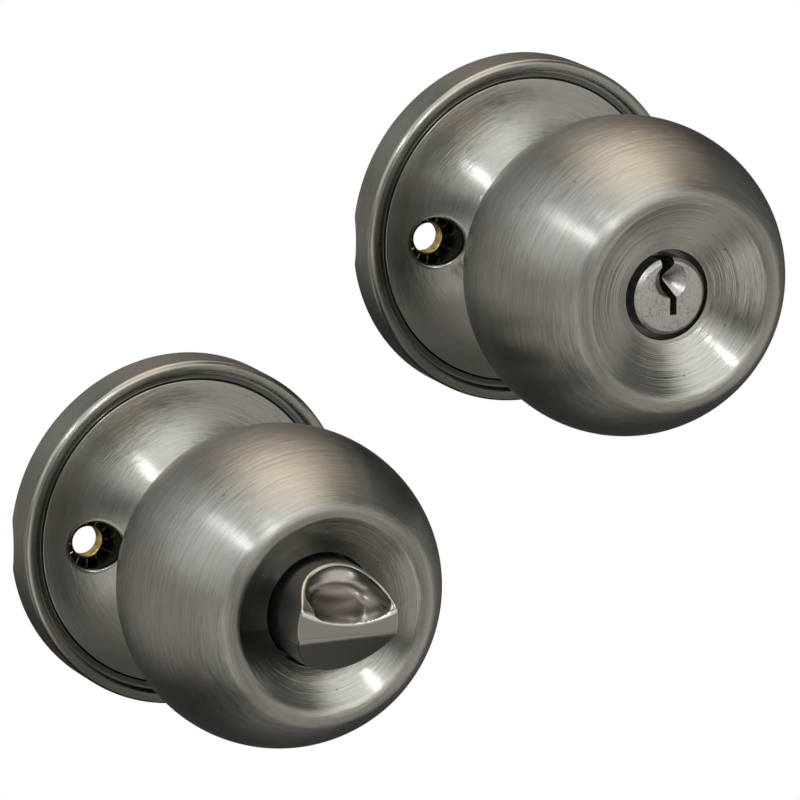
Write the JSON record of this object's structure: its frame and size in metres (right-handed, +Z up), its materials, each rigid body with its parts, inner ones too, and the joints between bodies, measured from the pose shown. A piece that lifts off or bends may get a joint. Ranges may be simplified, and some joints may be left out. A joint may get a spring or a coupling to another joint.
{
  "type": "door knob set",
  "caption": "Ball door knob set in satin steel: a keyed half with a lock cylinder and a half with a turn button, each on a round sprung rosette with through-bolt holes.",
  "frame": {"origin": "centre of the keyed half's two bolt holes, on the face of the door that its rosette rests on", "axes": "+X right and +Z up as the rosettes are seen from the front; +Y into the door, so both knobs point along -Y; the turn-button half lies 69.5 mm left and 49.8 mm below"},
  "size_m": [0.1345, 0.1219, 0.1148],
  "materials": {
    "satin_steel": "satin, brushed round the axis",
    "yellow_zinc": "yellow zinc plating",
    "brass": "turned",
    "die_cast_zinc": "as cast",
    "nickel": "nickel plated",
    "spring_steel": "oiled spring steel",
    "bright_steel": "bright zinc plated"
  },
  "bodies": {
    "base": {"keyed_rose": "satin_steel", "keyed_plate": "yellow_zinc", "keyed_ferrule_l": "yellow_zinc", "keyed_ferrule_r": "yellow_zinc", "keyed_bush": "brass", "keyed_return_spring": "spring_steel", "turn_rose": "satin_steel", "turn_plate": "yellow_zinc", "turn_ferrule_l": "yellow_zinc", "turn_ferrule_r": "yellow_zinc", "turn_bush": "brass", "turn_return_spring": "spring_steel"},
    "keyed_knob": {"keyed_cam": "bright_steel", "keyed_spacer": "bright_steel", "keyed_circlip": "spring_steel", "keyed_shank": "bright_steel", "keyed_spindle": "bright_steel", "keyed_liner": "die_cast_zinc", "keyed_shell": "satin_steel", "cylinder_case": "die_cast_zinc", "cylinder_cover": "brass", "driver_1": "bright_steel", "driver_2": "bright_steel", "driver_3": "bright_steel", "driver_4": "bright_steel", "driver_5": "bright_steel", "pin_spring_1": "spring_steel", "pin_spring_2": "spring_steel", "pin_spring_3": "spring_steel", "pin_spring_4": "spring_steel", "pin_spring_5": "spring_steel"},
    "plug": {"key_plug": "nickel", "plug_clip": "spring_steel", "tail_bar": "bright_steel", "key_pin_1": "brass", "key_pin_2": "brass", "key_pin_3": "brass", "key_pin_4": "brass", "key_pin_5": "brass"},
    "turn_knob": {"turn_cam": "bright_steel", "turn_spacer": "bright_steel", "turn_circlip": "spring_steel", "turn_shank": "bright_steel", "turn_socket": "bright_steel", "turn_liner": "die_cast_zinc", "turn_shell": "satin_steel", "button_guide": "die_cast_zinc"},
    "button": {"turn_button": "nickel", "button_washer": "spring_steel", "button_clip": "spring_steel", "lock_bar": "bright_steel"}
  },
  "joints": [
    {"name": "keyed_knob_turn", "type": "hinge", "parent": "base", "child": "keyed_knob", "pos_m": [0, 0, 0], "axis": [0, -1, 0], "range_deg": [-60, 60], "stiffness_Nm_per_rad": 0.5, "deforming": ["keyed_return_spring"]},
    {"name": "key_turn", "type": "hinge", "parent": "keyed_knob", "child": "plug", "pos_m": [0, 0, 0], "axis": [0, -1, 0], "range_deg": [-90, 90]},
    {"name": "turn_knob_turn", "type": "hinge", "parent": "base", "child": "turn_knob", "pos_m": [-0.0695, 0, -0.0498], "axis": [0, -1, 0], "range_deg": [-60, 60], "stiffness_Nm_per_rad": 0.5, "deforming": ["turn_return_spring"]},
    {"name": "button_turn", "type": "hinge", "parent": "turn_knob", "child": "button", "pos_m": [-0.0695, 0, -0.0498], "axis": [0, -1, 0], "range_deg": [0, 90]}
  ]
}
